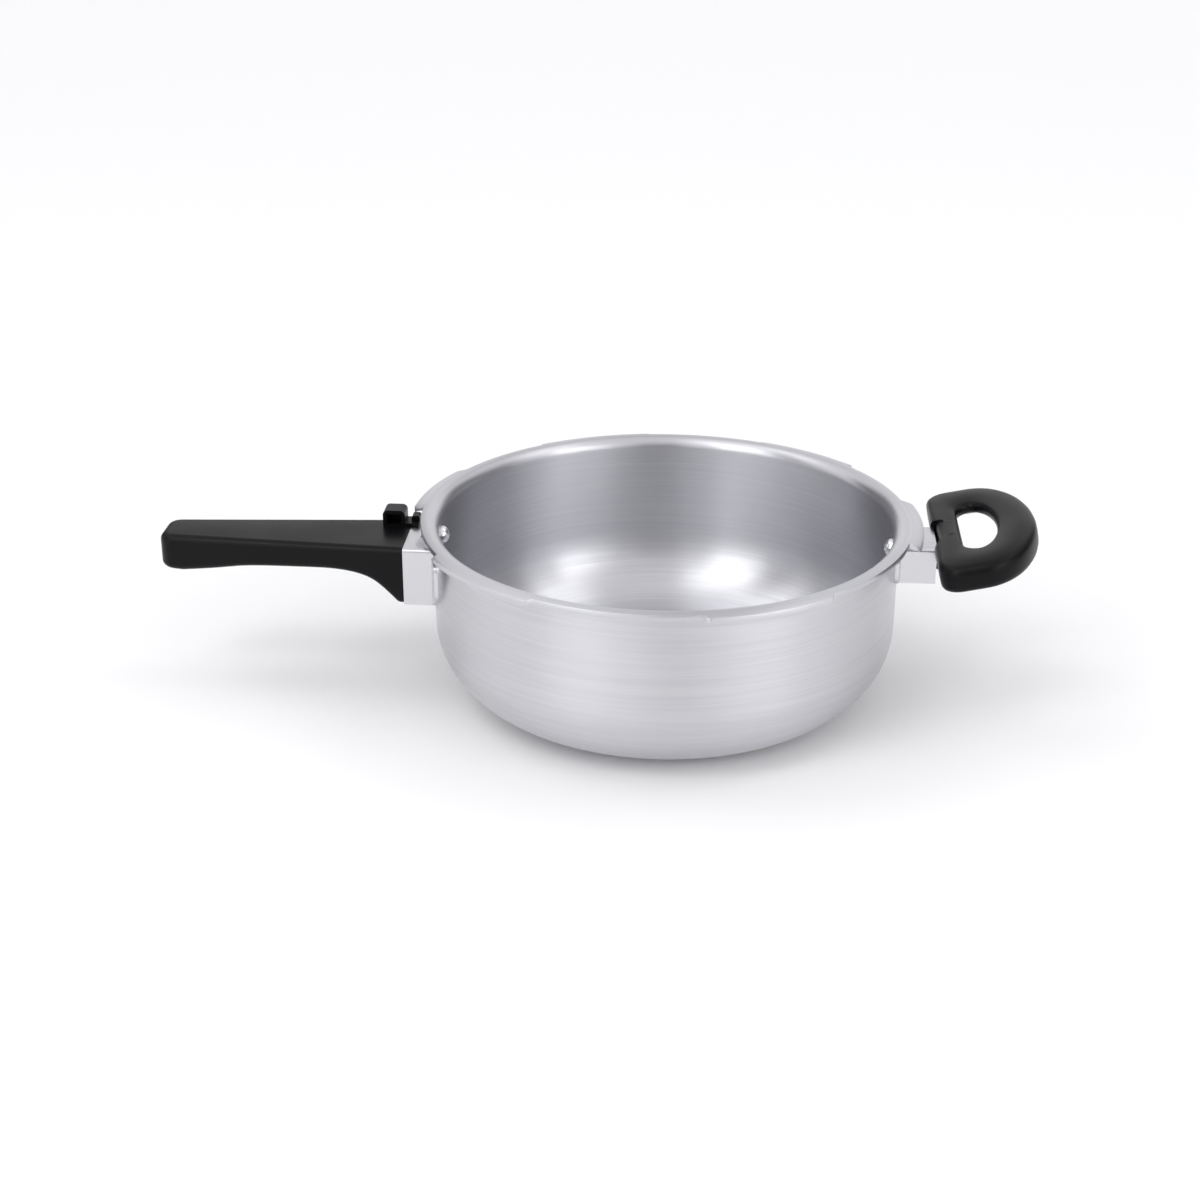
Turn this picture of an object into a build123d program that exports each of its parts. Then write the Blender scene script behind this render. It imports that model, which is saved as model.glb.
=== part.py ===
"""Lidless pan of a stovetop pressure cooker, with its two handles, as separate pieces.

Millimetres, +Z up. The origin is the centre of the flat base, where the pan rests on the stove.
The long handle points along -X and the helper handle along +X.
"""
from build123d import *
import math
import os

# ---------------------------------------------------------------- driving dimensions
# pan
WALL_R = 110.0            # outside radius of the straight wall
WALL_T = 2.5              # wall thickness
BASE_T = 3.2              # base thickness
BASE_FLAT_R = 66.0        # radius of the flat part of the base
CORNER_Z = 40.0           # height at which the rounded bottom becomes the straight wall
RIM_Z = 89.5              # crest of the rim, the highest point of the pan
FLARE_Z = 84.5            # height at which the wall starts to flare outwards
CREST_R = 112.5           # radius of the crest
DROOP_R = 20.0            # radius of the roll that turns the lip down outside the crest
LIP_R = 116.0             # radius of the lip between the lugs
LUG_R = 121.3             # radius over the bayonet lugs
# each lug: start and finish round from +X in degrees, and radius
LUGS = [(-13.5, 14.0, LUG_R), (40.5, 67.5, LUG_R), (96.5, 125.5, LUG_R), (152.0, 178.0, LUG_R),
        (209.0, 242.5, 118.5), (280.4, 311.0, 118.5)]
LUG_CORNER = 1.0          # rounding of the lug corners, seen from above

# rivets that hold the brackets
RIVET_SHANK_R = 2.6
RIVET_HEAD_R = 4.5
RIVET_HEAD_H = 2.2
RIVET_TAIL_R = 3.8
RIVET_TAIL_H = 1.4
RIVET_TAIL_EDGE = 0.4     # chamfer on the rim of the tail
RIVET_GAP = 0.02          # keeps the head's flat seat clear of the curved wall
RIVET_Z = 75.9            # the rivets that show inside the pan
LOWER_RIVET_Z = 58.0
TAIL_ROOM = 0.8           # free space around a rivet's tail

# sheet-metal brackets
SHEET = 1.6
BEND_R = 2.0              # outside radius of the folded edges
LONG_HALF_W = 20.4        # half width of the long handle's bracket
LONG_TOP = 76.0
LONG_BOTTOM = 47.7
LONG_END = 123.4          # distance from the pan's axis to the end of the bracket
FOOT_MARGIN = 3.0         # how far the foot stands out beside the fold
FOOT_TOP = 80.3
FOOT_EAR_Y = 33.0
FOOT_EAR_Z = (54.0, 73.0)
FOOT_CORNER = 4.0
TANG_HALF_W = 12.0
TANG_TOP = 67.5
TANG_END = 160.0
HELPER_HALF_W = 14.5      # half width of the helper handle's bracket
HELPER_TOP = 81.7
HELPER_BOTTOM = 64.2
HELPER_END = 127.2
HELPER_EAR_Y = 22.0
HELPER_FOOT_UP = 1.5      # the foot starts this far above the bottom of the fold
FIT = 0.15                # clearance of a moulding around sheet metal
WALL_GAP = 0.1            # the fold's ends stop short of the wall

# long handle
GRIP_START = 123.5        # end face against the bracket
GRIP_TIP = 243.0
GRIP_TIP_HALF_W = 12.0
GRIP_TIP_CORNER = 7.0     # rounding of the tip, seen from above
GRIP_ROOT_HALF_W = 20.5
GRIP_ROUND = 3.6          # rounding along the grip's edges
GRIP_TIP_Z = 58.6         # underside of the tip
GRIP_HEEL_X = 126.6       # the deep end is flat below from the bracket to here
GRIP_ARCH = [(132.0, 53.3), (138.5, 58.6), (148.0, 61.9), (172.0, 63.0), (200.0, 61.9), (232.0, 57.9)]
GRIP_ARCH_START = (-0.62, 0.78)
GRIP_ARCH_FINISH = (-1.0, -0.10)
KEEPER_Y = (9.0, 18.6)    # hooded keeper for the lid's latch, on the far half of the handle
KEEPER_X = (126.5, 137.3)
KEEPER_TOP = 83.9
KEEPER_WALL = 1.9
KEEPER_ROUND = 2.4
KEEPER_PAD = 1.5          # height of the pad that carries the keeper and the lip
KEEPER_FLOOR = 0.8        # floor of the keeper's mouth above the grip
LIP_X = (119.9, 123.9)    # raised end lip next to the keeper
LIP_TOP = 79.9
LIP_SHORTER = 4.0         # the lip starts this far behind the keeper's mouth
LIP_ROUND = 1.2

# helper handle, in a plane that rises away from the pan
HELPER_X = 125.0
HELPER_FACE_Z = 84.9      # height of its top face at HELPER_X
HELPER_RISE = 12.4        # degrees
HELPER_T = 13.0
HELPER_W = 49.5           # half width across the loop
HELPER_LENGTH = 48.7
HELPER_STRAIGHT = 22.0    # where the straight sides turn into the outer curve
HELPER_CORNER = 12.0
HOLE_W = 27.0
HOLE_START = 13.3
HOLE_END = 30.4
HOLE_STRAIGHT = 19.5
HOLE_CORNER = 5.9
DISH_DEPTH = 8.5          # the underside is scooped towards the finger hole
DISH_SPREAD = 8.0
HELPER_ROUND = 4.4
HOLE_ROUND = 2.6
TONGUE_GAP = 2.6          # between the bracket's foot and the tongue inside the fold
TONGUE_BOTTOM = 67.6
TONGUE_OVERLAP = 4.0      # how far the tongue runs into the loop
TONGUE_ROUND = 2.0

# screws, washers and nuts
SCREW_CLEARANCE = 0.25
WASHER_CLEARANCE = 0.05
SCREW_TIP = 0.4           # chamfer on the end of the shank
NUT_CORNER = 0.6
NUT_ROOM = 1.0            # free height above a nut
LONG_SCREW_X = -137.0
LONG_SCREW_R = 2.5
LONG_SEAT_Z = 61.3        # the handle's seat for the washer, above the counterbore
LONG_COUNTERBORE_R = 5.4
LONG_WASHER_R = 5.0
LONG_SPRING_R = 4.3
LONG_NUT_W = 9.0
LONG_NUT_H = 3.5
HELPER_SCREW_X = 120.4
HELPER_SCREW_R = 2.0
HELPER_SEAT_Z = 70.6
HELPER_COUNTERBORE_R = 4.6
HELPER_WASHER_R = 4.3
HELPER_SPRING_R = 3.7
HELPER_NUT_W = 7.6
HELPER_NUT_H = 3.2
WASHER_T = 1.0
SPRING_WASHER_T = 1.3
SPRING_SPLIT = 0.8        # gap in the spring washer


# ---------------------------------------------------------------- helpers
def block(x, y, z):
    """Box between the given (low, high) pairs."""
    size = [high - low for low, high in (x, y, z)]
    middle = [(high + low) / 2 for low, high in (x, y, z)]
    return Pos(*middle) * Box(*size)


def rod(radius, x, z_low, z_high):
    """Upright cylinder on the plane of the handles."""
    return Pos(x, 0, (z_low + z_high) / 2) * Cylinder(radius, z_high - z_low)


def wall_cylinder(radius):
    """Upright cylinder about the pan's axis, taller than the pan."""
    return Pos(0, 0, RIM_Z / 2) * Cylinder(radius, 2 * RIM_Z)


# ---------------------------------------------------------------- pan
def pan_outline(inset, floor):
    """Half profile from the axis to the lip, moved in from the outer surface by inset."""
    side = WALL_R - inset
    crest = RIM_Z - WALL_T + inset
    roll = DROOP_R - WALL_T + inset
    roll_centre = (CREST_R, RIM_Z - DROOP_R)
    droop = math.degrees(math.asin((LUG_R + 1.0 - CREST_R) / DROOP_R))
    start = (0, floor)
    flat = (BASE_FLAT_R, floor)
    corner = (side, CORNER_Z)
    flare = (side, FLARE_Z)
    lines = [Line(start, flat)]
    lines.append(EllipticalCenterArc((BASE_FLAT_R, CORNER_Z), side - BASE_FLAT_R,
                                     CORNER_Z - floor, 270, arc_size=90))
    lines.append(Line(corner, flare))
    lines.append(EllipticalCenterArc((CREST_R, FLARE_Z), CREST_R - side, crest - FLARE_Z, 180,
                                     arc_size=-90))
    lines.append(CenterArc(roll_centre, roll, 90, -droop))
    return lines


def pan_section():
    outer = pan_outline(0, 0)
    inner = pan_outline(WALL_T, BASE_T)
    axis = Line(inner[0] @ 0, outer[0] @ 0)
    edge = Line(outer[-1] @ 1, inner[-1] @ 1)
    return make_face(Wire(outer + inner + [axis, edge]))


def lug_sector(start, finish, radius):
    """Sector of the disc over the lugs, between two angles round from +X, in degrees."""
    reach = LUG_R * 1.2
    low, high = math.radians(start), math.radians(finish)
    corners = [(0, 0), (reach * math.cos(low), reach * math.sin(low)),
               (reach * math.cos(high), reach * math.sin(high))]
    return Circle(radius) & make_face(Polyline(*corners, close=True))


def lug_plan():
    """The lip seen from above: a disc with a lug over each span of LUGS."""
    plan = Circle(LIP_R)
    for start, finish, radius in LUGS:
        plan += lug_sector(start, finish, radius)
    return fillet(plan.vertices(), LUG_CORNER)


def rivet_hole(x_sign, z):
    return Pos(x_sign * WALL_R, 0, z) * Rot(0, 90, 0) * Cylinder(RIVET_SHANK_R, WALL_R / 4)


def pan_body():
    body = revolve(Plane.XZ * pan_section(), Axis.Z)
    body &= extrude(lug_plan(), 2 * RIM_Z)
    body -= rivet_hole(-1, RIVET_Z)
    body -= rivet_hole(-1, LOWER_RIVET_Z)
    body -= rivet_hole(1, RIVET_Z)
    return body


# ---------------------------------------------------------------- rivets
def rivet(x_sign, z, wall_inner, tail_seat):
    """Domed head against the inside of the pan, shank, and flat tail outside the bracket's foot."""
    sphere_r = (RIVET_HEAD_R ** 2 + RIVET_HEAD_H ** 2) / (2 * RIVET_HEAD_H)
    dome = Pos(0, 0, RIVET_HEAD_H - sphere_r) * Sphere(sphere_r)
    head = dome & Pos(0, 0, RIVET_HEAD_H / 2) * Cylinder(RIVET_HEAD_R, RIVET_HEAD_H)
    grip = tail_seat - wall_inner
    shank = Pos(0, 0, -grip / 2) * Cylinder(RIVET_SHANK_R, grip)
    tail = Pos(0, 0, -grip - RIVET_TAIL_H / 2) * Cylinder(RIVET_TAIL_R, RIVET_TAIL_H)
    tail = chamfer(tail.edges().group_by(Axis.Z)[0], RIVET_TAIL_EDGE)
    piece = head + shank + tail
    turn = -90 if x_sign > 0 else 90
    return Pos(x_sign * wall_inner, 0, z) * Rot(0, turn, 0) * piece


def handle_rivet(x_sign, z):
    inner_r = WALL_R - WALL_T
    head_seat = math.sqrt(inner_r ** 2 - RIVET_HEAD_R ** 2) - RIVET_GAP
    return rivet(x_sign, z, head_seat, WALL_R + SHEET)


# ---------------------------------------------------------------- brackets
def foot_plate(parts, rivets):
    """Sheet curved to the wall, trimmed to the union of the given (y, z) rectangles."""
    shell = wall_cylinder(WALL_R + SHEET) - wall_cylinder(WALL_R)
    for z in rivets:
        shell -= rivet_hole(1, z)
    trim = None
    for half_y, z in parts:
        plate = block((WALL_R / 2, WALL_R * 2), (-half_y, half_y), z)
        plate = fillet(plate.edges().filter_by(Axis.X), FOOT_CORNER)
        trim = plate if trim is None else trim + plate
    return shell & trim


def channel(half_w, end, z_low, z_high):
    """Sheet folded down on both sides, open below, from the wall out to its end."""
    x = (WALL_R - 10, end)
    outside = block(x, (-half_w, half_w), (z_low, z_high))
    outside = fillet(outside.edges().filter_by(Axis.X).group_by(Axis.Z)[-1], BEND_R)
    inner_w = half_w - SHEET
    inside = block((x[0] - 1, end + 1), (-inner_w, inner_w), (z_low - 1, z_high - SHEET))
    inside = fillet(inside.edges().filter_by(Axis.X).group_by(Axis.Z)[-1], BEND_R - SHEET)
    return outside - inside - wall_cylinder(WALL_R + WALL_GAP)


def long_handle_bracket():
    body = channel(LONG_HALF_W, LONG_END, LONG_BOTTOM, LONG_TOP)
    notch_w = RIVET_TAIL_R + TAIL_ROOM
    notch_end = WALL_R + SHEET + RIVET_TAIL_R + 2 * TAIL_ROOM
    body -= block((WALL_R / 2, notch_end), (-notch_w, notch_w), (LONG_TOP - 2 * SHEET, LONG_TOP + SHEET))
    body += foot_plate([(LONG_HALF_W + FOOT_MARGIN, (LONG_BOTTOM, FOOT_TOP)), (FOOT_EAR_Y, FOOT_EAR_Z)],
                       (RIVET_Z, LOWER_RIVET_Z))
    tang_w = (-TANG_HALF_W, TANG_HALF_W)
    body += block((LONG_END - SHEET, LONG_END), tang_w, (TANG_TOP - SHEET, LONG_TOP - SHEET))
    tang = block((LONG_END - SHEET, TANG_END), tang_w, (TANG_TOP - SHEET, TANG_TOP))
    body += fillet(tang.edges().filter_by(Axis.Z).group_by(Axis.X)[-1], FOOT_CORNER)
    body -= rod(LONG_SCREW_R + SCREW_CLEARANCE, -LONG_SCREW_X, LONG_BOTTOM, TANG_TOP + 1)
    return Rot(0, 0, 180) * body


def helper_handle_bracket():
    body = channel(HELPER_HALF_W, HELPER_END, HELPER_BOTTOM, HELPER_TOP)
    return body + foot_plate([(HELPER_EAR_Y, (HELPER_BOTTOM + HELPER_FOOT_UP, FOOT_TOP))], (RIVET_Z,))


# ---------------------------------------------------------------- long handle
def grip_side():
    """Side outline of the grip: level top, arched underside, deep end against the bracket."""
    heel = [(-GRIP_START, LONG_BOTTOM), (-GRIP_HEEL_X, LONG_BOTTOM)]
    arch = [(-x, z) for x, z in GRIP_ARCH]
    under = Spline(heel[1], *arch, tangents=[GRIP_ARCH_START, GRIP_ARCH_FINISH])
    tip = Line(under @ 1, (-GRIP_TIP, GRIP_TIP_Z))
    rise = Line(tip @ 1, (-GRIP_TIP, LONG_TOP))
    top = Line(rise @ 1, (-GRIP_START, LONG_TOP))
    end = Line(top @ 1, heel[0])
    return make_face(Wire([Line(*heel), under, tip, rise, top, end]))


def grip_plan():
    """The grip seen from above: it narrows to a rounded tip."""
    plan = make_face(Polyline((-GRIP_START, -GRIP_ROOT_HALF_W), (-GRIP_START, GRIP_ROOT_HALF_W),
                              (-GRIP_TIP, GRIP_TIP_HALF_W), (-GRIP_TIP, -GRIP_TIP_HALF_W), close=True))
    return fillet(plan.vertices().group_by(Axis.X)[0], GRIP_TIP_CORNER)


def grip_solid():
    side = extrude(Plane.XZ * grip_side(), 2 * GRIP_ROOT_HALF_W, both=True)
    grip = side & extrude(grip_plan(), 2 * LONG_TOP)
    rounded = [e for e in grip.edges() if e.center().X < -GRIP_START - FIT]
    rounded = [e for e in rounded if abs((e % 0.5).Z) < 0.9]
    return fillet(rounded, GRIP_ROUND)


def lid_keeper():
    """Hood open to the front, for the lid's latch, with a raised lip across a gap from it."""
    x_low, x_high = -KEEPER_X[1], -KEEPER_X[0]
    rooted = LONG_TOP - KEEPER_PAD
    pad_top = LONG_TOP + KEEPER_PAD
    pad = block((x_low, -GRIP_START), KEEPER_Y, (rooted, pad_top))
    pad += block((x_low, -LIP_X[0]), KEEPER_Y, (LONG_TOP + FIT, pad_top))
    hood = block((x_low, x_high), KEEPER_Y, (rooted, KEEPER_TOP))
    hood = fillet(hood.edges().filter_by(Axis.Y).group_by(Axis.Z)[-1], KEEPER_ROUND)
    lip = block((-LIP_X[1], -LIP_X[0]), (KEEPER_Y[0] + LIP_SHORTER, KEEPER_Y[1]),
                (LONG_TOP + FIT, LIP_TOP))
    lip = fillet(lip.edges().filter_by(Axis.Y).group_by(Axis.Z)[-1], LIP_ROUND)
    mouth = block((x_low + KEEPER_WALL, x_high - KEEPER_WALL),
                  (KEEPER_Y[0] - KEEPER_WALL, KEEPER_Y[1] - KEEPER_WALL),
                  (LONG_TOP + KEEPER_FLOOR, KEEPER_TOP - KEEPER_WALL))
    return pad + hood + lip, mouth


def long_handle():
    body = grip_solid()
    keeper, mouth = lid_keeper()
    body = body + keeper - mouth
    slot_w = TANG_HALF_W + FIT
    body -= block((-TANG_END - FIT, -LONG_END), (-slot_w, slot_w),
                  (TANG_TOP - SHEET - FIT, TANG_TOP + FIT))
    nut_w = LONG_NUT_W / 2 + FIT
    nut_top = TANG_TOP + LONG_NUT_H
    body -= block((LONG_SCREW_X - nut_w, -LONG_END), (-nut_w, nut_w), (TANG_TOP, nut_top + NUT_ROOM))
    body -= rod(LONG_SCREW_R + SCREW_CLEARANCE, LONG_SCREW_X, LONG_BOTTOM, TANG_TOP)
    return body - rod(LONG_COUNTERBORE_R, LONG_SCREW_X, LONG_BOTTOM, LONG_SEAT_Z)


# ---------------------------------------------------------------- helper handle
def helper_place():
    """Turns the loop from flat to its rise, with its top face's near edge at HELPER_X."""
    return Pos(HELPER_X, 0, HELPER_FACE_Z) * Rot(0, -HELPER_RISE, 0)


def d_outline(start, straight, end, half_w, corner):
    """D shape: a straight side with rounded corners, and half an ellipse away from the pan."""
    box = Pos((start + straight) / 2, 0) * Rectangle(straight - start, 2 * half_w)
    near = box.vertices().group_by(Axis.X)[0]
    box = fillet(near, corner)
    curve = Pos(straight, 0) * Ellipse(end - straight, half_w)
    far = Pos(end, 0) * Rectangle(2 * (end - straight), 3 * half_w)
    return box + (curve & far)


def hole_edges(loop, side):
    """Edges of the finger hole on the top face (side -1) or on the underside (side 0)."""
    face_edges = loop.edges().group_by(Axis.Z)[side]
    return [e for e in face_edges if HOLE_START - 1 < e.center().X < HOLE_END + 1
            and abs(e.center().Y) < HOLE_W + 1]


def helper_loop():
    outline = d_outline(0, HELPER_STRAIGHT, HELPER_LENGTH, HELPER_W, HELPER_CORNER)
    loop = extrude(outline, -HELPER_T)
    loop = fillet(loop.edges().group_by(Axis.Z)[-1] + loop.edges().group_by(Axis.Z)[0], HELPER_ROUND)
    hole = d_outline(HOLE_START, HOLE_STRAIGHT, HOLE_END, HOLE_W, HOLE_CORNER)
    loop -= Pos(0, 0, -2 * HELPER_T) * extrude(hole, 3 * HELPER_T)
    loop = fillet(hole_edges(loop, -1), HOLE_ROUND)
    return chamfer(hole_edges(loop, 0), DISH_DEPTH, DISH_SPREAD)


def helper_handle():
    body = helper_place() * helper_loop()
    notch_w = HELPER_HALF_W + FIT
    body -= block((WALL_R, HELPER_END + FIT), (-notch_w, notch_w), (0, 2 * HELPER_TOP))
    inner_w = HELPER_HALF_W - SHEET - FIT
    tongue = block((WALL_R + SHEET + TONGUE_GAP, HELPER_END + TONGUE_OVERLAP), (-inner_w, inner_w),
                   (TONGUE_BOTTOM, HELPER_TOP - SHEET - FIT))
    body += fillet(tongue.edges().filter_by(Axis.Z).group_by(Axis.X)[0], TONGUE_ROUND)
    nut_w = HELPER_NUT_W / 2 + FIT
    body -= block((WALL_R, HELPER_SCREW_X + nut_w), (-nut_w, nut_w),
                  (HELPER_TOP - SHEET - HELPER_NUT_H - 2 * FIT, HELPER_TOP))
    body -= rod(HELPER_SCREW_R + SCREW_CLEARANCE, HELPER_SCREW_X, HELPER_BOTTOM, HELPER_TOP)
    return body - rod(HELPER_COUNTERBORE_R, HELPER_SCREW_X, HELPER_BOTTOM, HELPER_SEAT_Z)


# ---------------------------------------------------------------- fasteners
def pan_screw(radius, x, seat, top):
    """Screw driven from below: low domed head with a cross recess, and a plain shank."""
    head_r = 1.75 * radius
    head_h = 1.15 * radius
    head = rod(head_r, x, seat - head_h, seat)
    head = fillet(head.edges().group_by(Axis.Z)[0], 0.45 * head_h)
    recess = block((x - 0.9 * radius, x + 0.9 * radius), (-0.15 * radius, 0.15 * radius),
                   (seat - 2 * head_h, seat - 0.5 * head_h))
    head -= recess
    head -= Pos(x, 0, 0) * Rot(0, 0, 90) * Pos(-x, 0, 0) * recess
    shank = rod(radius, x, seat, top)
    return head + chamfer(shank.edges().group_by(Axis.Z)[-1], SCREW_TIP)


def ring(radius, bore, x, z_low, thick):
    return rod(radius, x, z_low, z_low + thick) - rod(bore, x, z_low - thick, z_low + 2 * thick)


def spring_washer(radius, bore, x, z_low):
    split = block((x, x + 2 * radius), (-SPRING_SPLIT / 2, SPRING_SPLIT / 2),
                  (z_low - SPRING_WASHER_T, z_low + 2 * SPRING_WASHER_T))
    return ring(radius, bore, x, z_low, SPRING_WASHER_T) - split


def square_nut(width, height, screw_r, x, z_low):
    half = width / 2
    nut = block((x - half, x + half), (-half, half), (z_low, z_low + height))
    nut = chamfer(nut.edges().filter_by(Axis.Z), NUT_CORNER)
    return nut - rod(screw_r, x, z_low - height, z_low + 2 * height)


def long_handle_fasteners():
    x, r = LONG_SCREW_X, LONG_SCREW_R
    bore = r + WASHER_CLEARANCE
    under = LONG_SEAT_Z - WASHER_T - SPRING_WASHER_T
    return {
        "long_handle_washer": ring(LONG_WASHER_R, bore, x, LONG_SEAT_Z - WASHER_T, WASHER_T),
        "long_handle_spring_washer": spring_washer(LONG_SPRING_R, bore, x, under),
        "long_handle_screw": pan_screw(r, x, under, TANG_TOP + LONG_NUT_H + NUT_ROOM / 2),
        "long_handle_nut": square_nut(LONG_NUT_W, LONG_NUT_H, r, x, TANG_TOP),
    }


def helper_handle_fasteners():
    x, r = HELPER_SCREW_X, HELPER_SCREW_R
    bore = r + WASHER_CLEARANCE
    under = HELPER_SEAT_Z - WASHER_T - SPRING_WASHER_T
    nut_low = HELPER_TOP - SHEET - HELPER_NUT_H
    return {
        "helper_handle_washer": ring(HELPER_WASHER_R, bore, x, HELPER_SEAT_Z - WASHER_T, WASHER_T),
        "helper_handle_spring_washer": spring_washer(HELPER_SPRING_R, bore, x, under),
        "helper_handle_screw": pan_screw(r, x, under, HELPER_TOP - SHEET - 2 * FIT),
        "helper_handle_nut": square_nut(HELPER_NUT_W, HELPER_NUT_H, r, x, nut_low),
    }


# ---------------------------------------------------------------- assembly
def build():
    nodes = {
        "pan_body": pan_body(),
        "long_handle_bracket": long_handle_bracket(),
        "long_bracket_upper_rivet": handle_rivet(-1, RIVET_Z),
        "long_bracket_lower_rivet": handle_rivet(-1, LOWER_RIVET_Z),
        "long_handle": long_handle(),
        "helper_handle_bracket": helper_handle_bracket(),
        "helper_bracket_rivet": handle_rivet(1, RIVET_Z),
        "helper_handle": helper_handle(),
    }
    nodes.update(long_handle_fasteners())
    nodes.update(helper_handle_fasteners())
    return nodes


os.makedirs("parts", exist_ok=True)
for name, shape in build().items():
    export_step(shape, f"parts/{name}.step")
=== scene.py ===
"""Lidless pan of a stovetop pressure cooker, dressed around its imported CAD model.

Lengths are metres unless a name ends in _mm. The pan stands on z = 0 with its axis on Z,
the long handle points along -X and the helper handle along +X.
"""
from __future__ import annotations

import logging
import math
from dataclasses import dataclass
from enum import Enum
from typing import Sequence

import bmesh
import bpy
from mathutils import Matrix, Vector


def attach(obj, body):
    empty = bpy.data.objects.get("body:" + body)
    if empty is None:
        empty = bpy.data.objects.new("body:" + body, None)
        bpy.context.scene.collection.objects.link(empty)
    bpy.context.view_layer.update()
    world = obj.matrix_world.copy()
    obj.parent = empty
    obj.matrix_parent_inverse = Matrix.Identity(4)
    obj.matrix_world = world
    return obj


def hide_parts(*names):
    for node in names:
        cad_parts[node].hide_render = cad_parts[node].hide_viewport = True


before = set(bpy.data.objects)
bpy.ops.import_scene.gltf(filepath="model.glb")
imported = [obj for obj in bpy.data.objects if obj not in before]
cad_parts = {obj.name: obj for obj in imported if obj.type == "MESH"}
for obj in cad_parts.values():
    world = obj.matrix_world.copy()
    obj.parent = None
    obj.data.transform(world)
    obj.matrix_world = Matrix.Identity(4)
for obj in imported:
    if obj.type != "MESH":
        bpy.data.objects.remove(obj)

MM = 0.001
LOG = logging.getLogger("pressure_pan")
Value = float | bpy.types.NodeSocket

NOISE_DETAIL = 3.0      # octaves in the metals' noises
SMEARS_PER_M = 14.0     # broad smears on worked metal, about 70 mm across
SMEAR_ROUGHNESS = 0.6   # share of a metal's roughness spread that its smears take
SMEAR_TINT = 0.35       # how far a smear turns the colour to the stain
STREAK_TINT = 0.30      # how far a fine line does
STREAK_LOW, STREAK_HIGH = 0.3, 0.7   # part of the line noise that shows as streaks
CAD_SHARP_ANGLE = 30.0  # edges of a CAD node that turn more than this stay sharp
WELD_DISTANCE = 1e-6


# ------------------------------------------------------------------ small tools
def linear(hex_colour: str) -> tuple[float, float, float, float]:
    """Turns an sRGB hex colour into linear RGBA.

    Args:
        hex_colour: six hex digits, such as "d8d8da".

    Returns:
        Linear red, green, blue and an alpha of 1.
    """
    channels = [int(hex_colour[i:i + 2], 16) / 255 for i in (0, 2, 4)]
    red, green, blue = (c / 12.92 if c <= 0.04045 else ((c + 0.055) / 1.055) ** 2.4 for c in channels)
    return red, green, blue, 1.0


def add_node(tree: bpy.types.NodeTree, kind: str, inputs: dict | None = None,
             **settings: object) -> bpy.types.Node:
    """Adds a shader node with its settings, values and links.

    Args:
        tree: the material's node tree.
        kind: the node's type name.
        inputs: input name or index to a value, or to an output socket to link from.
        settings: attributes of the node itself.

    Returns:
        The new node.
    """
    node = tree.nodes.new(kind)
    for name, value in settings.items():
        setattr(node, name, value)
    for key, value in (inputs or {}).items():
        socket = node.inputs[key]
        if isinstance(value, bpy.types.NodeSocket):
            tree.links.new(value, socket)
        else:
            socket.default_value = value
    return node


def maths(tree: bpy.types.NodeTree, operation: str, first: Value, second: Value = 0.0,
          third: Value = 0.0) -> bpy.types.NodeSocket:
    """Adds a Math node and returns its output."""
    return add_node(tree, "ShaderNodeMath", {0: first, 1: second, 2: third}, operation=operation).outputs[0]


def ramp(tree: bpy.types.NodeTree, value: bpy.types.NodeSocket, low: float,
         high: float) -> bpy.types.NodeSocket:
    """A smooth step from 0 at low to 1 at high, which may lie below low."""
    return add_node(tree, "ShaderNodeMapRange", {"Value": value, "From Min": low, "From Max": high},
                    interpolation_type="SMOOTHSTEP").outputs["Result"]


def smoothstep(low: float, high: float, value: float) -> float:
    """Rises smoothly from 0 at low to 1 at high."""
    t = min(1.0, max(0.0, (value - low) / (high - low)))
    return t * t * (3 - 2 * t)


def finish_piece(name: str, mesh: bmesh.types.BMesh, sharp_angle: float,
                 material: bpy.types.Material, replaced: Sequence[str] = ()) -> bpy.types.Object:
    """Makes an object of a bmesh, shades it smooth, and hands it to the frame.

    Args:
        name: the piece's name.
        mesh: its shape, freed here.
        sharp_angle: edges that turn more than this many degrees stay sharp.
        material: what it is made of.
        replaced: CAD nodes that it stands for.

    Returns:
        The new object, at the origin, riding on the root body.
    """
    data = bpy.data.meshes.new(name)
    mesh.to_mesh(data)
    mesh.free()
    for polygon in data.polygons:
        polygon.use_smooth = True
    data.set_sharp_from_angle(angle=math.radians(sharp_angle))
    data.materials.append(material)
    piece = bpy.data.objects.new(name, data)
    bpy.context.scene.collection.objects.link(piece)
    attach(piece, "root")
    if replaced:
        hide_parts(*replaced)
    LOG.info("%s: %d faces", name, len(data.polygons))
    return piece


# ------------------------------------------------------------------ finishes
class Grain(Enum):
    """Which way a brushed surface was worked."""

    ROUND_THE_AXIS = "round"
    ALONG_X = "along"


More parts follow.
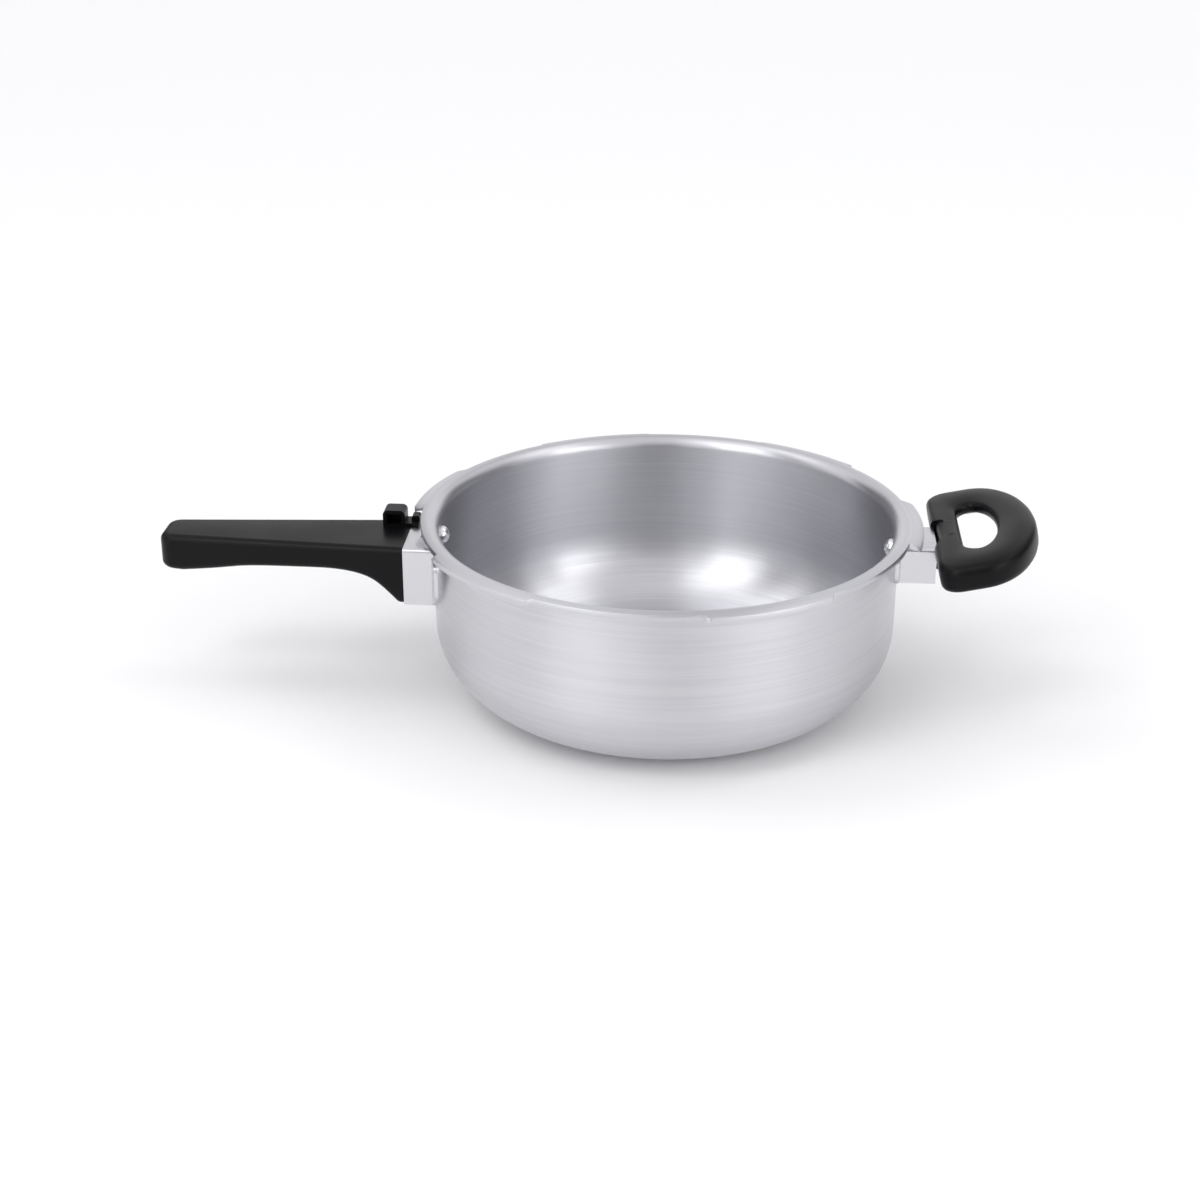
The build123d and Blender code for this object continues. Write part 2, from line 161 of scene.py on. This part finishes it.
@dataclass(frozen=True)
class BrushedMetal:
    """Sheet metal worked with abrasive belts or pads, so fine lines stretch its reflections."""

    name: str
    colour: str
    roughness: float
    roughness_spread: float
    grain: Grain
    line_mm: float
    line_length: float
    bump_mm: float
    bump_strength: float
    anisotropy: float
    stain: str

    def material(self) -> bpy.types.Material:
        """Builds the node material.

        Returns:
            A metal whose fine lines follow the grain, with broad faint smears.
        """
        made = bpy.data.materials.new(self.name)
        made.use_nodes = True
        tree = made.node_tree
        shader = tree.nodes["Principled BSDF"]
        place = add_node(tree, "ShaderNodeTexCoord").outputs["Object"]
        axes = add_node(tree, "ShaderNodeSeparateXYZ", {0: place}).outputs
        lines = self._lines(tree, axes)
        smear = add_node(tree, "ShaderNodeTexNoise", {"Vector": place, "Scale": SMEARS_PER_M,
                                                      "Detail": NOISE_DETAIL}).outputs["Fac"]
        spread = maths(tree, "MULTIPLY_ADD", lines, self.roughness_spread, self.roughness)
        rough = maths(tree, "MULTIPLY_ADD", maths(tree, "SUBTRACT", smear, 0.5),
                      SMEAR_ROUGHNESS * self.roughness_spread, spread)
        streaks = add_node(tree, "ShaderNodeMapRange", {"Value": lines, "From Min": STREAK_LOW,
                                                        "From Max": STREAK_HIGH}).outputs["Result"]
        patchy = maths(tree, "MULTIPLY_ADD", smear, SMEAR_TINT,
                       maths(tree, "MULTIPLY", streaks, STREAK_TINT))
        tint = add_node(tree, "ShaderNodeMix", {"Factor": patchy, "A": linear(self.colour),
                                                "B": linear(self.stain)}, data_type="RGBA")
        colour = next(o for o in tint.outputs if o.type == "RGBA")
        bump = add_node(tree, "ShaderNodeBump", {"Height": lines, "Strength": self.bump_strength,
                                                 "Distance": self.bump_mm * MM})
        tree.links.new(colour, shader.inputs["Base Color"])
        tree.links.new(rough, shader.inputs["Roughness"])
        tree.links.new(bump.outputs[0], shader.inputs["Normal"])
        shader.inputs["Metallic"].default_value = 1.0
        shader.inputs["Anisotropic"].default_value = self.anisotropy
        shader.inputs["Anisotropic Rotation"].default_value = 0.25
        return made

    def _lines(self, tree: bpy.types.NodeTree, axes: Sequence[bpy.types.NodeSocket]) -> bpy.types.NodeSocket:
        """Fine lines along the grain.

        Args:
            tree: the material's node tree.
            axes: the X, Y and Z object coordinates.

        Returns:
            A value from 0 to 1 that changes fast across the grain and slowly along it.
        """
        across = 1 / (self.line_mm * MM)
        if self.grain is Grain.ALONG_X:
            along = maths(tree, "MULTIPLY", axes[0], self.line_length)
            wide = maths(tree, "MULTIPLY", axes[1], across)
            high = maths(tree, "MULTIPLY", axes[2], across)
            vector = add_node(tree, "ShaderNodeCombineXYZ", {0: along, 1: wide, 2: high}).outputs[0]
            return add_node(tree, "ShaderNodeTexNoise", {"Vector": vector, "Scale": 1.0,
                                                         "Detail": NOISE_DETAIL}).outputs["Fac"]
        square = maths(tree, "MULTIPLY_ADD", axes[0], axes[0], maths(tree, "MULTIPLY", axes[1], axes[1]))
        radius = maths(tree, "SQRT", square)
        safe = maths(tree, "MAXIMUM", radius, MM)
        turn_x = maths(tree, "MULTIPLY", maths(tree, "DIVIDE", axes[0], safe), self.line_length)
        turn_y = maths(tree, "MULTIPLY", maths(tree, "DIVIDE", axes[1], safe), self.line_length)
        out = maths(tree, "MULTIPLY", radius, across)
        high = maths(tree, "MULTIPLY", axes[2], across)
        vector = add_node(tree, "ShaderNodeCombineXYZ", {0: out, 1: high, 2: turn_x}).outputs[0]
        return add_node(tree, "ShaderNodeTexNoise", {"Vector": vector, "W": turn_y, "Scale": 1.0,
                                                     "Detail": NOISE_DETAIL},
                        noise_dimensions="4D").outputs["Fac"]


@dataclass(frozen=True)
class MouldedPhenolic:
    """Black compression-moulded phenolic: hard, satin, with a fine mottle left by the mould."""

    name: str
    colour: str
    worn: str
    roughness: float
    shine: float
    ior: float = 1.6
    mottle_mm: float = 0.9
    mottle_detail: float = 4.0
    mottle_roughness: float = 0.10
    wear_per_m: float = 28.0
    wear_fade: float = 0.6
    wear_polish: float = 0.22
    bump_mm: float = 0.02
    bump_strength: float = 0.25

    def material(self) -> bpy.types.Material:
        """Builds the node material.

        Returns:
            A dark plastic with a faint mottle, slightly lighter and smoother where hands rub it.
        """
        made = bpy.data.materials.new(self.name)
        made.use_nodes = True
        tree = made.node_tree
        shader = tree.nodes["Principled BSDF"]
        place = add_node(tree, "ShaderNodeTexCoord").outputs["Object"]
        mottle = add_node(tree, "ShaderNodeTexNoise", {"Vector": place, "Scale": 1 / (self.mottle_mm * MM),
                                                       "Detail": self.mottle_detail}).outputs["Fac"]
        broad = add_node(tree, "ShaderNodeTexNoise", {"Vector": place, "Scale": self.wear_per_m,
                                                      "Detail": self.mottle_detail}).outputs["Fac"]
        fade = maths(tree, "MULTIPLY", broad, self.wear_fade)
        tint = add_node(tree, "ShaderNodeMix", {"Factor": fade, "A": linear(self.colour),
                                                "B": linear(self.worn)}, data_type="RGBA")
        colour = next(o for o in tint.outputs if o.type == "RGBA")
        rough = maths(tree, "MULTIPLY_ADD", maths(tree, "SUBTRACT", broad, 0.5), -self.wear_polish,
                      self.roughness)
        rough = maths(tree, "MULTIPLY_ADD", maths(tree, "SUBTRACT", mottle, 0.5), self.mottle_roughness,
                      rough)
        bump = add_node(tree, "ShaderNodeBump", {"Height": mottle, "Strength": self.bump_strength,
                                                 "Distance": self.bump_mm * MM})
        tree.links.new(colour, shader.inputs["Base Color"])
        tree.links.new(rough, shader.inputs["Roughness"])
        tree.links.new(bump.outputs[0], shader.inputs["Normal"])
        shader.inputs["IOR"].default_value = self.ior
        shader.inputs["Specular IOR Level"].default_value = self.shine
        return made


# Pressed aluminium, spun against pads inside and out: pale and slightly cool, with faint rings round
# the pan and reflections drawn upright.
PAN_ALUMINIUM = BrushedMetal(
    name="spun_brushed_aluminium", colour="d7d7da", stain="bcbcc2", roughness=0.27, roughness_spread=0.14,
    grain=Grain.ROUND_THE_AXIS, line_mm=1.0, line_length=1.6, bump_mm=0.04, bump_strength=0.8,
    anisotropy=0.88)
# Folded bright steel sheet, polished along its length: smoother than the pan, with crisper reflections.
BRACKET_STEEL = BrushedMetal(
    name="folded_bright_steel", colour="d4d4d7", stain="cacace", roughness=0.20, roughness_spread=0.06,
    grain=Grain.ALONG_X, line_mm=0.5, line_length=60.0, bump_mm=0.006, bump_strength=0.2, anisotropy=0.3)
# Cold-headed aluminium: the die leaves it smooth and bright.
RIVET_ALUMINIUM = BrushedMetal(
    name="headed_aluminium", colour="e4e4e6", stain="d4d4d8", roughness=0.18, roughness_spread=0.05,
    grain=Grain.ALONG_X, line_mm=0.6, line_length=900.0, bump_mm=0.004, bump_strength=0.15, anisotropy=0.0)
# Zinc-plated steel: greyer, a little milky.
SCREW_STEEL = BrushedMetal(
    name="zinc_plated_steel", colour="b9bbbf", stain="a3a5aa", roughness=0.34, roughness_spread=0.10,
    grain=Grain.ROUND_THE_AXIS, line_mm=0.4, line_length=2.0, bump_mm=0.006, bump_strength=0.2,
    anisotropy=0.0)
# Black phenolic: near black and satin, so the handles show only broad soft highlights.
HANDLE_PHENOLIC = MouldedPhenolic(
    name="moulded_phenolic", colour="09090b", worn="0e0e10", roughness=0.34, shine=0.11)


# ------------------------------------------------------------------ pan
@dataclass
class PanBody:
    """The pressed pan: dished bottom, straight wall, flared rim with bayonet lugs."""

    wall_r: float = 110.0
    wall_t: float = 2.5
    base_t: float = 3.2
    base_flat_r: float = 66.0
    corner_z: float = 40.0
    rim_z: float = 89.5
    flare_z: float = 84.5
    crest_r: float = 112.5
    droop_r: float = 20.0
    lip_r: float = 116.0
    lug_r: float = 121.3
    lugs: tuple[tuple[float, float, float], ...] = (
        (-13.5, 14.0, 121.3), (40.5, 67.5, 121.3), (96.5, 125.5, 121.3), (152.0, 178.0, 121.3),
        (209.0, 242.5, 118.5), (280.4, 311.0, 118.5))
    lug_blend: float = 0.9
    lug_overrun: float = 0.1
    edge_break: float = 0.35
    edge_angle: float = 60.0
    bottom_radii: tuple[float, ...] = (6.0, 20.0, 40.0, 58.0, 64.0)
    wall_heights: tuple[float, ...] = (50.0, 60.0, 70.0, 78.0, 83.0)
    corner_steps: int = 20
    flare_steps: int = 10
    roll_steps: int = 8
    steps: int = 720

    def _profile(self, inset: float, floor: float) -> list[tuple[float, float]]:
        """Points of one side of the wall, from the axis to the lip.

        Args:
            inset: how far inside the outer surface, mm.
            floor: height of the flat bottom, mm.

        Returns:
            (radius, height) pairs in mm.
        """
        side = self.wall_r - inset
        points = [(r, floor) for r in self.bottom_radii]
        for i in range(self.corner_steps + 1):
            angle = math.radians(90 * i / self.corner_steps)
            points.append((self.base_flat_r + (side - self.base_flat_r) * math.sin(angle),
                           self.corner_z - (self.corner_z - floor) * math.cos(angle)))
        points += [(side, z) for z in self.wall_heights]
        crest = self.rim_z - self.wall_t + inset
        for i in range(self.flare_steps + 1):
            angle = math.radians(90 * i / self.flare_steps)
            points.append((self.crest_r - (self.crest_r - side) * math.cos(angle),
                           self.flare_z + (crest - self.flare_z) * math.sin(angle)))
        roll = self.droop_r - self.wall_t + inset
        for i in range(1, self.roll_steps + 1):
            radius = self.crest_r + (self.lug_r - self.crest_r) * i / self.roll_steps
            points.append((radius, self._roll_height(radius, roll)))
        return points

    def _roll_height(self, radius: float, roll: float) -> float:
        """Height in mm of the rolled lip at a radius, on a roll of the given radius."""
        return self.rim_z - self.droop_r + math.sqrt(roll ** 2 - (radius - self.crest_r) ** 2)

    def _lip_radius(self, turn: float) -> float:
        """The lip's radius in mm at an angle in degrees round the pan."""
        radius = self.lip_r
        for start, finish, reach in self.lugs:
            middle, half = (start + finish) / 2, (finish - start) / 2
            off = abs((turn - middle + 180) % 360 - 180)
            inside = 1 - smoothstep(half - self.lug_blend, half + self.lug_overrun, off)
            radius = max(radius, self.lip_r + (reach - self.lip_r) * inside)
        return radius

    def build(self, material: bpy.types.Material) -> bpy.types.Object:
        """Spins the profile, trims the lip to its lugs, and dresses it.

        Args:
            material: the pan's finish.

        Returns:
            The pan.
        """
        outer = self._profile(0.0, 0.0)
        inner = self._profile(self.wall_t, self.base_t)
        mesh = bmesh.new()
        loop = [mesh.verts.new((r * MM, 0, z * MM)) for r, z in outer + inner[::-1]]
        edges = [mesh.edges.new(pair) for pair in zip(loop, loop[1:])]
        bmesh.ops.spin(mesh, geom=loop + edges, cent=(0, 0, 0), axis=(0, 0, 1),
                       angle=2 * math.pi, steps=self.steps, use_merge=True, use_duplicate=False)
        bmesh.ops.remove_doubles(mesh, verts=mesh.verts, dist=1e-7)
        self._trim_lip(mesh)
        holes = [e for e in mesh.edges if e.is_boundary]
        bmesh.ops.holes_fill(mesh, edges=holes, sides=0)
        bmesh.ops.recalc_face_normals(mesh, faces=mesh.faces)
        self._round_cut_edge(mesh)
        return finish_piece("pan_shell", mesh, 32, material, ("pan_body",))

    def _trim_lip(self, mesh: bmesh.types.BMesh) -> None:
        """Draws the lip back to its trimmed radius between the lugs."""
        full = self.lug_r - self.crest_r
        centre_z = self.rim_z - self.droop_r
        for vert in mesh.verts:
            out = vert.co.xy.length / MM - self.crest_r
            if out < 0.01 or vert.co.z / MM < self.flare_z:
                continue
            roll = math.hypot(out, vert.co.z / MM - centre_z)
            turn = math.degrees(math.atan2(vert.co.y, vert.co.x))
            radius = self.crest_r + out * (self._lip_radius(turn) - self.crest_r) / full
            flat = vert.co.xy.normalized() * radius * MM
            vert.co = (flat.x, flat.y, self._roll_height(radius, roll) * MM)

    def _round_cut_edge(self, mesh: bmesh.types.BMesh) -> None:
        """Breaks the two sharp edges of the trimmed lip."""
        inner_limit = (self.crest_r + 0.5) * MM
        turned = math.radians(self.edge_angle)
        rim = [e for e in mesh.edges if len(e.link_faces) == 2 and e.calc_face_angle(0) > turned
               and min(v.co.xy.length for v in e.verts) > inner_limit]
        bmesh.ops.bevel(mesh, geom=rim, offset=self.edge_break * MM, offset_type="OFFSET", segments=2,
                        profile=0.5, affect="EDGES", material=-1, clamp_overlap=True)


# ------------------------------------------------------------------ rivets
@dataclass
class Rivet:
    """A rivet through the pan's wall: a domed head inside, an upset tail behind the bracket's foot."""

    name: str
    node: str
    side: float
    height: float
    head_r: float = 4.5
    head_h: float = 4.0
    head_seat: float = 107.4
    shank_r: float = 2.6
    tail_seat: float = 111.6
    tail_r: float = 3.8
    tail_h: float = 1.4
    tail_edge: float = 0.4
    dome_steps: int = 10
    steps: int = 64

    def build(self, material: bpy.types.Material) -> bpy.types.Object:
        """Spins the rivet's profile and stands it in the wall.

        Args:
            material: the rivet's finish.

        Returns:
            The rivet.
        """
        end = self.head_seat - self.tail_seat - self.tail_h
        angles = [math.radians(90 / self.dome_steps * i) for i in range(self.dome_steps + 1)]
        profile = [(self.head_r * math.sin(a), self.head_h * math.cos(a)) for a in angles]
        profile += [(self.shank_r, 0.0), (self.shank_r, end + self.tail_h), (self.tail_r, end + self.tail_h),
                    (self.tail_r, end + self.tail_edge), (self.tail_r - self.tail_edge, end), (0.0, end)]
        place = (Matrix.Translation((self.side * self.head_seat * MM, 0, self.height * MM))
                 @ Matrix.Rotation(math.radians(-90 * self.side), 4, "Y") @ Matrix.Scale(MM, 4))
        mesh = bmesh.new()
        line = [mesh.verts.new((r, 0, z)) for r, z in profile]
        edges = [mesh.edges.new(pair) for pair in zip(line, line[1:])]
        bmesh.ops.spin(mesh, geom=line + edges, cent=(0, 0, 0), axis=(0, 0, 1),
                       angle=2 * math.pi, steps=self.steps, use_merge=True, use_duplicate=False)
        bmesh.ops.remove_doubles(mesh, verts=mesh.verts, dist=1e-4)
        bmesh.ops.transform(mesh, matrix=place, verts=mesh.verts)
        bmesh.ops.recalc_face_normals(mesh, faces=mesh.faces)
        return finish_piece(self.name, mesh, 40, material, (self.node,))


# ------------------------------------------------------------------ helper handle
@dataclass
class HelperHandle:
    """The moulded D-shaped loop opposite the long handle, with its tongue inside the bracket."""

    near_x: float = 125.0
    face_z: float = 84.9
    rise: float = 12.4
    half_w: float = 49.5
    straight: float = 20.0
    length: float = 48.6
    corner: float = 9.5
    depth: float = 13.0
    hole_start: float = 13.3
    hole_straight: float = 19.5
    hole_end: float = 30.4
    hole_half_w: float = 27.0
    hole_corner: float = 8.0
    notch_half_w: float = 14.65
    notch: float = 2.45
    crown: float = 0.5
    stations: int = 168
    pair_gap: float = 0.006
    farthest: float = 80.0
    halvings: int = 24
    tongue_low: tuple[float, float, float] = (114.4, -12.7, 70.7)
    tongue_high: tuple[float, float, float] = (132.0, 12.7, 79.8)
    tongue_edge: float = 0.8

    def _inside(self, u: float, v: float, start: float, straight: float, end: float, half_w: float,
                corner: float) -> bool:
        """Whether a point of the loop's plane lies in a D with rounded near corners.

        Args:
            u: distance from the near edge, mm.
            v: distance across, mm.
            start: the near side's distance.
            straight: where the sides turn into the far curve.
            end: the far end.
            half_w: half the width.
            corner: radius of the near corners.

        Returns:
            True inside the outline.
        """
        across = abs(v)
        if u < start or u > end or across > half_w:
            return False
        if u > straight:
            return ((u - straight) / (end - straight)) ** 2 + (across / half_w) ** 2 < 1
        out_u, out_v = start + corner - u, across - (half_w - corner)
        return out_u < 0 or out_v < 0 or math.hypot(out_u, out_v) < corner

    def _reach(self, turn: float, outline: Sequence[float]) -> float:
        """Distance from the finger hole's middle to an outline, found by halving.

        Args:
            turn: direction in radians from the outward axis.
            outline: the D's sizes, as _inside takes them.

        Returns:
            The distance in mm.
        """
        low, high = 0.0, self.farthest
        middle = (self.hole_start + self.hole_end) / 2
        for _ in range(self.halvings):
            at = (low + high) / 2
            if self._inside(middle + at * math.cos(turn), at * math.sin(turn), *outline):
                low = at
            else:
                high = at
        return low

    def _section(self, turn: float) -> list[Vector]:
        """One closed section of the loop, from the hole's edge over the top, round and back below.

        Args:
            turn: direction in radians from the outward axis.

        Returns:
            Points in the loop's frame, mm: outward, across, and up from the top face.
        """
        hole = (self.hole_start, self.hole_straight, self.hole_end, self.hole_half_w, self.hole_corner)
        rim = (0.0, self.straight, self.length, self.half_w, self.corner)
        near, far = self._reach(turn, hole), self._reach(turn, rim)
        middle = (self.hole_start + self.hole_end) / 2
        if abs(far * math.sin(turn)) < self.notch_half_w and math.cos(turn) < 0:
            far = min(far, (middle - self.notch) / -math.cos(turn))
        span = far - near
        low = -self.depth
        shape = [(0.0, -3.4), (0.25, -2.0), (0.9, -0.95), (2.0, -0.3), (3.4, 0.0),
                 (0.42 * span, self.crown), (0.62 * span, self.crown), (span - 4.6, 0.0),
                 (span - 3.0, -0.35), (span - 1.7, -1.05), (span - 0.7, -2.2), (span - 0.15, -3.8),
                 (span, -6.0), (span - 0.05, -9.4), (span - 0.6, low + 1.9), (span - 1.7, low + 0.7),
                 (span - 3.2, low + 0.1), (span - 4.6, low + 0.35), (0.55 * span, low + 3.2),
                 (0.25 * span, low + 6.2), (1.6, -5.6), (0.4, -4.7)]
        return [Vector((middle + (near + s) * math.cos(turn), (near + s) * math.sin(turn), h))
                for s, h in shape]

    def _turns(self) -> list[float]:
        """Directions of the sections, with a close pair at each end of the bracket's notch."""
        turns = [2 * math.pi * i / self.stations for i in range(self.stations)]
        edge = math.atan2(self.notch_half_w, -(self.hole_start + self.hole_end) / 2)
        for turn in (edge, 2 * math.pi - edge):
            turns = [t for t in turns if abs(t - turn) > 2 * self.pair_gap]
            turns += [turn - self.pair_gap, turn + self.pair_gap]
        return sorted(turns)

    def build(self, material: bpy.types.Material) -> bpy.types.Object:
        """Bridges the sections into the loop and adds the tongue.

        Args:
            material: the moulding's finish.

        Returns:
            The handle.
        """
        place = (Matrix.Translation((self.near_x * MM, 0, self.face_z * MM))
                 @ Matrix.Rotation(math.radians(-self.rise), 4, "Y") @ Matrix.Scale(MM, 4))
        mesh = bmesh.new()
        rings = []
        for turn in self._turns():
            verts = [mesh.verts.new(place @ point) for point in self._section(turn)]
            rings.append([mesh.edges.new((verts[i - 1], verts[i])) for i in range(len(verts))])
        for first, second in zip(rings, rings[1:] + rings[:1]):
            bmesh.ops.bridge_loops(mesh, edges=first + second)
        self._tongue(mesh)
        bmesh.ops.recalc_face_normals(mesh, faces=mesh.faces)
        return finish_piece("helper_loop", mesh, 50, material, ("helper_handle",))

    def _tongue(self, mesh: bmesh.types.BMesh) -> None:
        """Adds the block that fills the bracket and takes the screw.

        Args:
            mesh: the handle's mesh.
        """
        low, high = Vector(self.tongue_low), Vector(self.tongue_high)
        size, middle = (high - low) * MM, (high + low) / 2 * MM
        block = bmesh.ops.create_cube(mesh, size=1.0, matrix=Matrix.Translation(middle) @ Matrix.Diagonal(
            (size.x, size.y, size.z, 1.0)))["verts"]
        edges = list({edge for vert in block for edge in vert.link_edges})
        bmesh.ops.bevel(mesh, geom=edges, offset=self.tongue_edge * MM, offset_type="OFFSET", segments=2,
                        profile=0.5, affect="EDGES", material=-1, clamp_overlap=True)


# ------------------------------------------------------------------ carried-over pieces
def dress_node(name: str, material: bpy.types.Material) -> None:
    """Gives a CAD node its finish and smooth shading across its gentle edges.

    Args:
        name: the CAD node.
        material: its finish.
    """
    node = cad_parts[name]
    node.data.materials.clear()
    node.data.materials.append(material)
    for polygon in node.data.polygons:
        polygon.use_smooth = True
    weld = node.modifiers.new("weld", "WELD")
    weld.merge_threshold = WELD_DISTANCE
    split = node.modifiers.new("split", "EDGE_SPLIT")
    split.split_angle = math.radians(CAD_SHARP_ANGLE)
    LOG.info("%s: dressed", name)


# ------------------------------------------------------------------ studio
@dataclass(frozen=True)
class Panel:
    """A soft-edged panel in the tent's wall: a lit window, or a dark flag where glow is below 0.

    Its place and half sizes are in degrees, and each edge fades over a share of its half size.
    """

    azimuth: float
    elevation: float
    half_width: float
    half_height: float
    glow: float
    side_fade: float = 0.25
    end_fade: float = 0.3

    def add(self, tree: bpy.types.NodeTree, azimuth: bpy.types.NodeSocket,
            elevation: bpy.types.NodeSocket) -> bpy.types.NodeSocket:
        """Adds the nodes that shape the panel.

        Args:
            tree: the world's node tree.
            azimuth: direction round the set in radians, 0 in front and growing to the right.
            elevation: direction above the floor in radians.

        Returns:
            What the panel adds to the tent's brightness.
        """
        off = maths(tree, "ABSOLUTE", maths(tree, "SUBTRACT", azimuth, math.radians(self.azimuth)))
        off = maths(tree, "MINIMUM", off, maths(tree, "SUBTRACT", 2 * math.pi, off))
        wide = ramp(tree, off, math.radians((1 + self.side_fade) * self.half_width),
                    math.radians((1 - self.side_fade) * self.half_width))
        rise = maths(tree, "ABSOLUTE", maths(tree, "SUBTRACT", elevation, math.radians(self.elevation)))
        high = ramp(tree, rise, math.radians((1 + self.end_fade) * self.half_height),
                    math.radians((1 - self.end_fade) * self.half_height))
        return maths(tree, "MULTIPLY", maths(tree, "MULTIPLY", wide, high), self.glow)


@dataclass(frozen=True)
class Softbox:
    """A rectangular area light: where it hangs and its size in metres, its power in watts."""

    name: str
    place: tuple[float, float, float]
    size: tuple[float, float]
    power: float
    target: tuple[float, float, float] = (0.0, 0.0, 0.05)

    def hang(self) -> None:
        """Adds the light, facing its target."""
        data = bpy.data.lights.new(self.name, "AREA")
        data.shape = "RECTANGLE"
        data.size, data.size_y = self.size
        data.energy = self.power
        light = bpy.data.objects.new(self.name, data)
        way = Vector(self.place) - Vector(self.target)
        light.matrix_world = (Matrix.Translation(self.place)
                              @ way.to_track_quat("Z", "Y").to_matrix().to_4x4())
        bpy.context.scene.collection.objects.link(light)


@dataclass
class Studio:
    """Pale floor, soft lights and the camera. Angles are degrees."""

    azimuth: float = 4.0
    elevation: float = 23.87
    distance: float = 1.0
    aim: tuple[float, float, float] = (-0.03103, -0.00217, 0.0451)
    lens: float = 62.16
    roll: float = 0.16
    sensor: float = 36.0
    clip_end: float = 50.0
    floor_half: float = 12.0
    floor_colour: str = "f4f4f4"
    floor_roughness: float = 0.9
    softboxes: tuple[Softbox, ...] = (
        Softbox("key", (-0.9, -0.9, 1.5), (0.7, 0.7), 4.0),
        Softbox("fill", (1.3, -0.8, 1.1), (0.6, 0.9), 3.0))
    tent_colour: str = "fdfdff"
    base: float = 0.98
    # each panel: azimuth, elevation, half width, half height, glow
    panels: tuple[Panel, ...] = (
        Panel(-40.0, 22.0, 15.0, 14.0, 1.5), Panel(48.0, 18.0, 16.0, 13.0, 1.3),
        Panel(-29.0, 62.0, 14.0, 11.0, 1.8), Panel(104.0, 58.0, 15.0, 11.0, 1.8),
        Panel(-102.0, 58.0, 15.0, 11.0, 1.8), Panel(180.0, 38.0, 7.0, 10.0, -0.60),
        Panel(58.0, 46.0, 9.0, 12.0, -0.80), Panel(-70.0, 40.0, 7.0, 24.0, -0.70),
        Panel(98.0, 20.0, 9.0, 20.0, -0.70), Panel(6.0, 10.0, 12.0, 18.0, -0.80),
        Panel(128.0, 12.0, 22.0, 18.0, -0.80), Panel(-135.0, 12.0, 24.0, 18.0, -0.80))

    def build(self) -> None:
        """Adds the camera, floor, lights and world."""
        self._camera()
        self._floor()
        self._lights()
        self._world()
        bpy.context.scene.view_settings.view_transform = "Standard"

    def _camera(self) -> None:
        """Places the camera on a sphere round its aim."""
        a, e = math.radians(self.azimuth), math.radians(self.elevation)
        back = Vector((math.sin(a) * math.cos(e), -math.cos(a) * math.cos(e), math.sin(e)))
        data = bpy.data.cameras.new("camera")
        data.lens = self.lens
        data.sensor_width = self.sensor
        data.clip_end = self.clip_end
        camera = bpy.data.objects.new("camera", data)
        turn = back.to_track_quat("Z", "Y").to_matrix().to_4x4()
        camera.matrix_world = (Matrix.Translation(Vector(self.aim) + back * self.distance) @ turn
                               @ Matrix.Rotation(math.radians(self.roll), 4, "Z"))
        bpy.context.scene.collection.objects.link(camera)
        bpy.context.scene.camera = camera

    def _floor(self) -> None:
        """Lays a wide pale floor."""
        mesh = bmesh.new()
        bmesh.ops.create_grid(mesh, x_segments=1, y_segments=1, size=self.floor_half)
        data = bpy.data.meshes.new("floor")
        mesh.to_mesh(data)
        mesh.free()
        made = bpy.data.materials.new("studio_floor")
        made.use_nodes = True
        shader = made.node_tree.nodes["Principled BSDF"]
        shader.inputs["Base Color"].default_value = linear(self.floor_colour)
        shader.inputs["Roughness"].default_value = self.floor_roughness
        data.materials.append(made)
        floor = bpy.data.objects.new("floor", data)
        bpy.context.scene.collection.objects.link(floor)

    def _lights(self) -> None:
        """Hangs the softboxes that give the edges their highlights."""
        for softbox in self.softboxes:
            softbox.hang()

    def _world(self) -> None:
        """Surrounds the set with a pale studio tent that has lit panels and dark flags."""
        world = bpy.data.worlds.new("tent")
        world.use_nodes = True
        tree = world.node_tree
        way = add_node(tree, "ShaderNodeTexCoord").outputs["Generated"]
        x, y, z = add_node(tree, "ShaderNodeSeparateXYZ", {0: way}).outputs
        azimuth = maths(tree, "ARCTAN2", x, maths(tree, "MULTIPLY", y, -1.0))
        elevation = maths(tree, "ARCSINE", z)
        glow = self.base
        for panel in self.panels:
            glow = maths(tree, "ADD", glow, panel.add(tree, azimuth, elevation))
        tree.links.new(glow, tree.nodes["Background"].inputs["Strength"])
        tree.nodes["Background"].inputs["Color"].default_value = linear(self.tent_colour)
        bpy.context.scene.world = world


def main() -> None:
    """Builds the pan, dresses the carried-over pieces and sets up the studio."""
    logging.basicConfig(level=logging.INFO, format="%(message)s")
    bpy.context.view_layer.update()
    Studio().build()
    aluminium = PAN_ALUMINIUM.material()
    steel = BRACKET_STEEL.material()
    rivet = RIVET_ALUMINIUM.material()
    phenolic = HANDLE_PHENOLIC.material()
    zinc = SCREW_STEEL.material()
    PanBody().build(aluminium)
    Rivet("upper_rivet", "long_bracket_upper_rivet", -1, 75.9).build(rivet)
    Rivet("lower_rivet", "long_bracket_lower_rivet", -1, 58.0).build(rivet)
    Rivet("helper_rivet", "helper_bracket_rivet", 1, 75.9).build(rivet)
    HelperHandle().build(phenolic)
    finishes = {"_rivet": rivet, "_bracket": steel, "_handle": phenolic, "pan_body": aluminium}
    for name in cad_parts:
        finish = next((made for ending, made in finishes.items() if name.endswith(ending)), zinc)
        dress_node(name, finish)


if __name__ == "__main__":
    main()
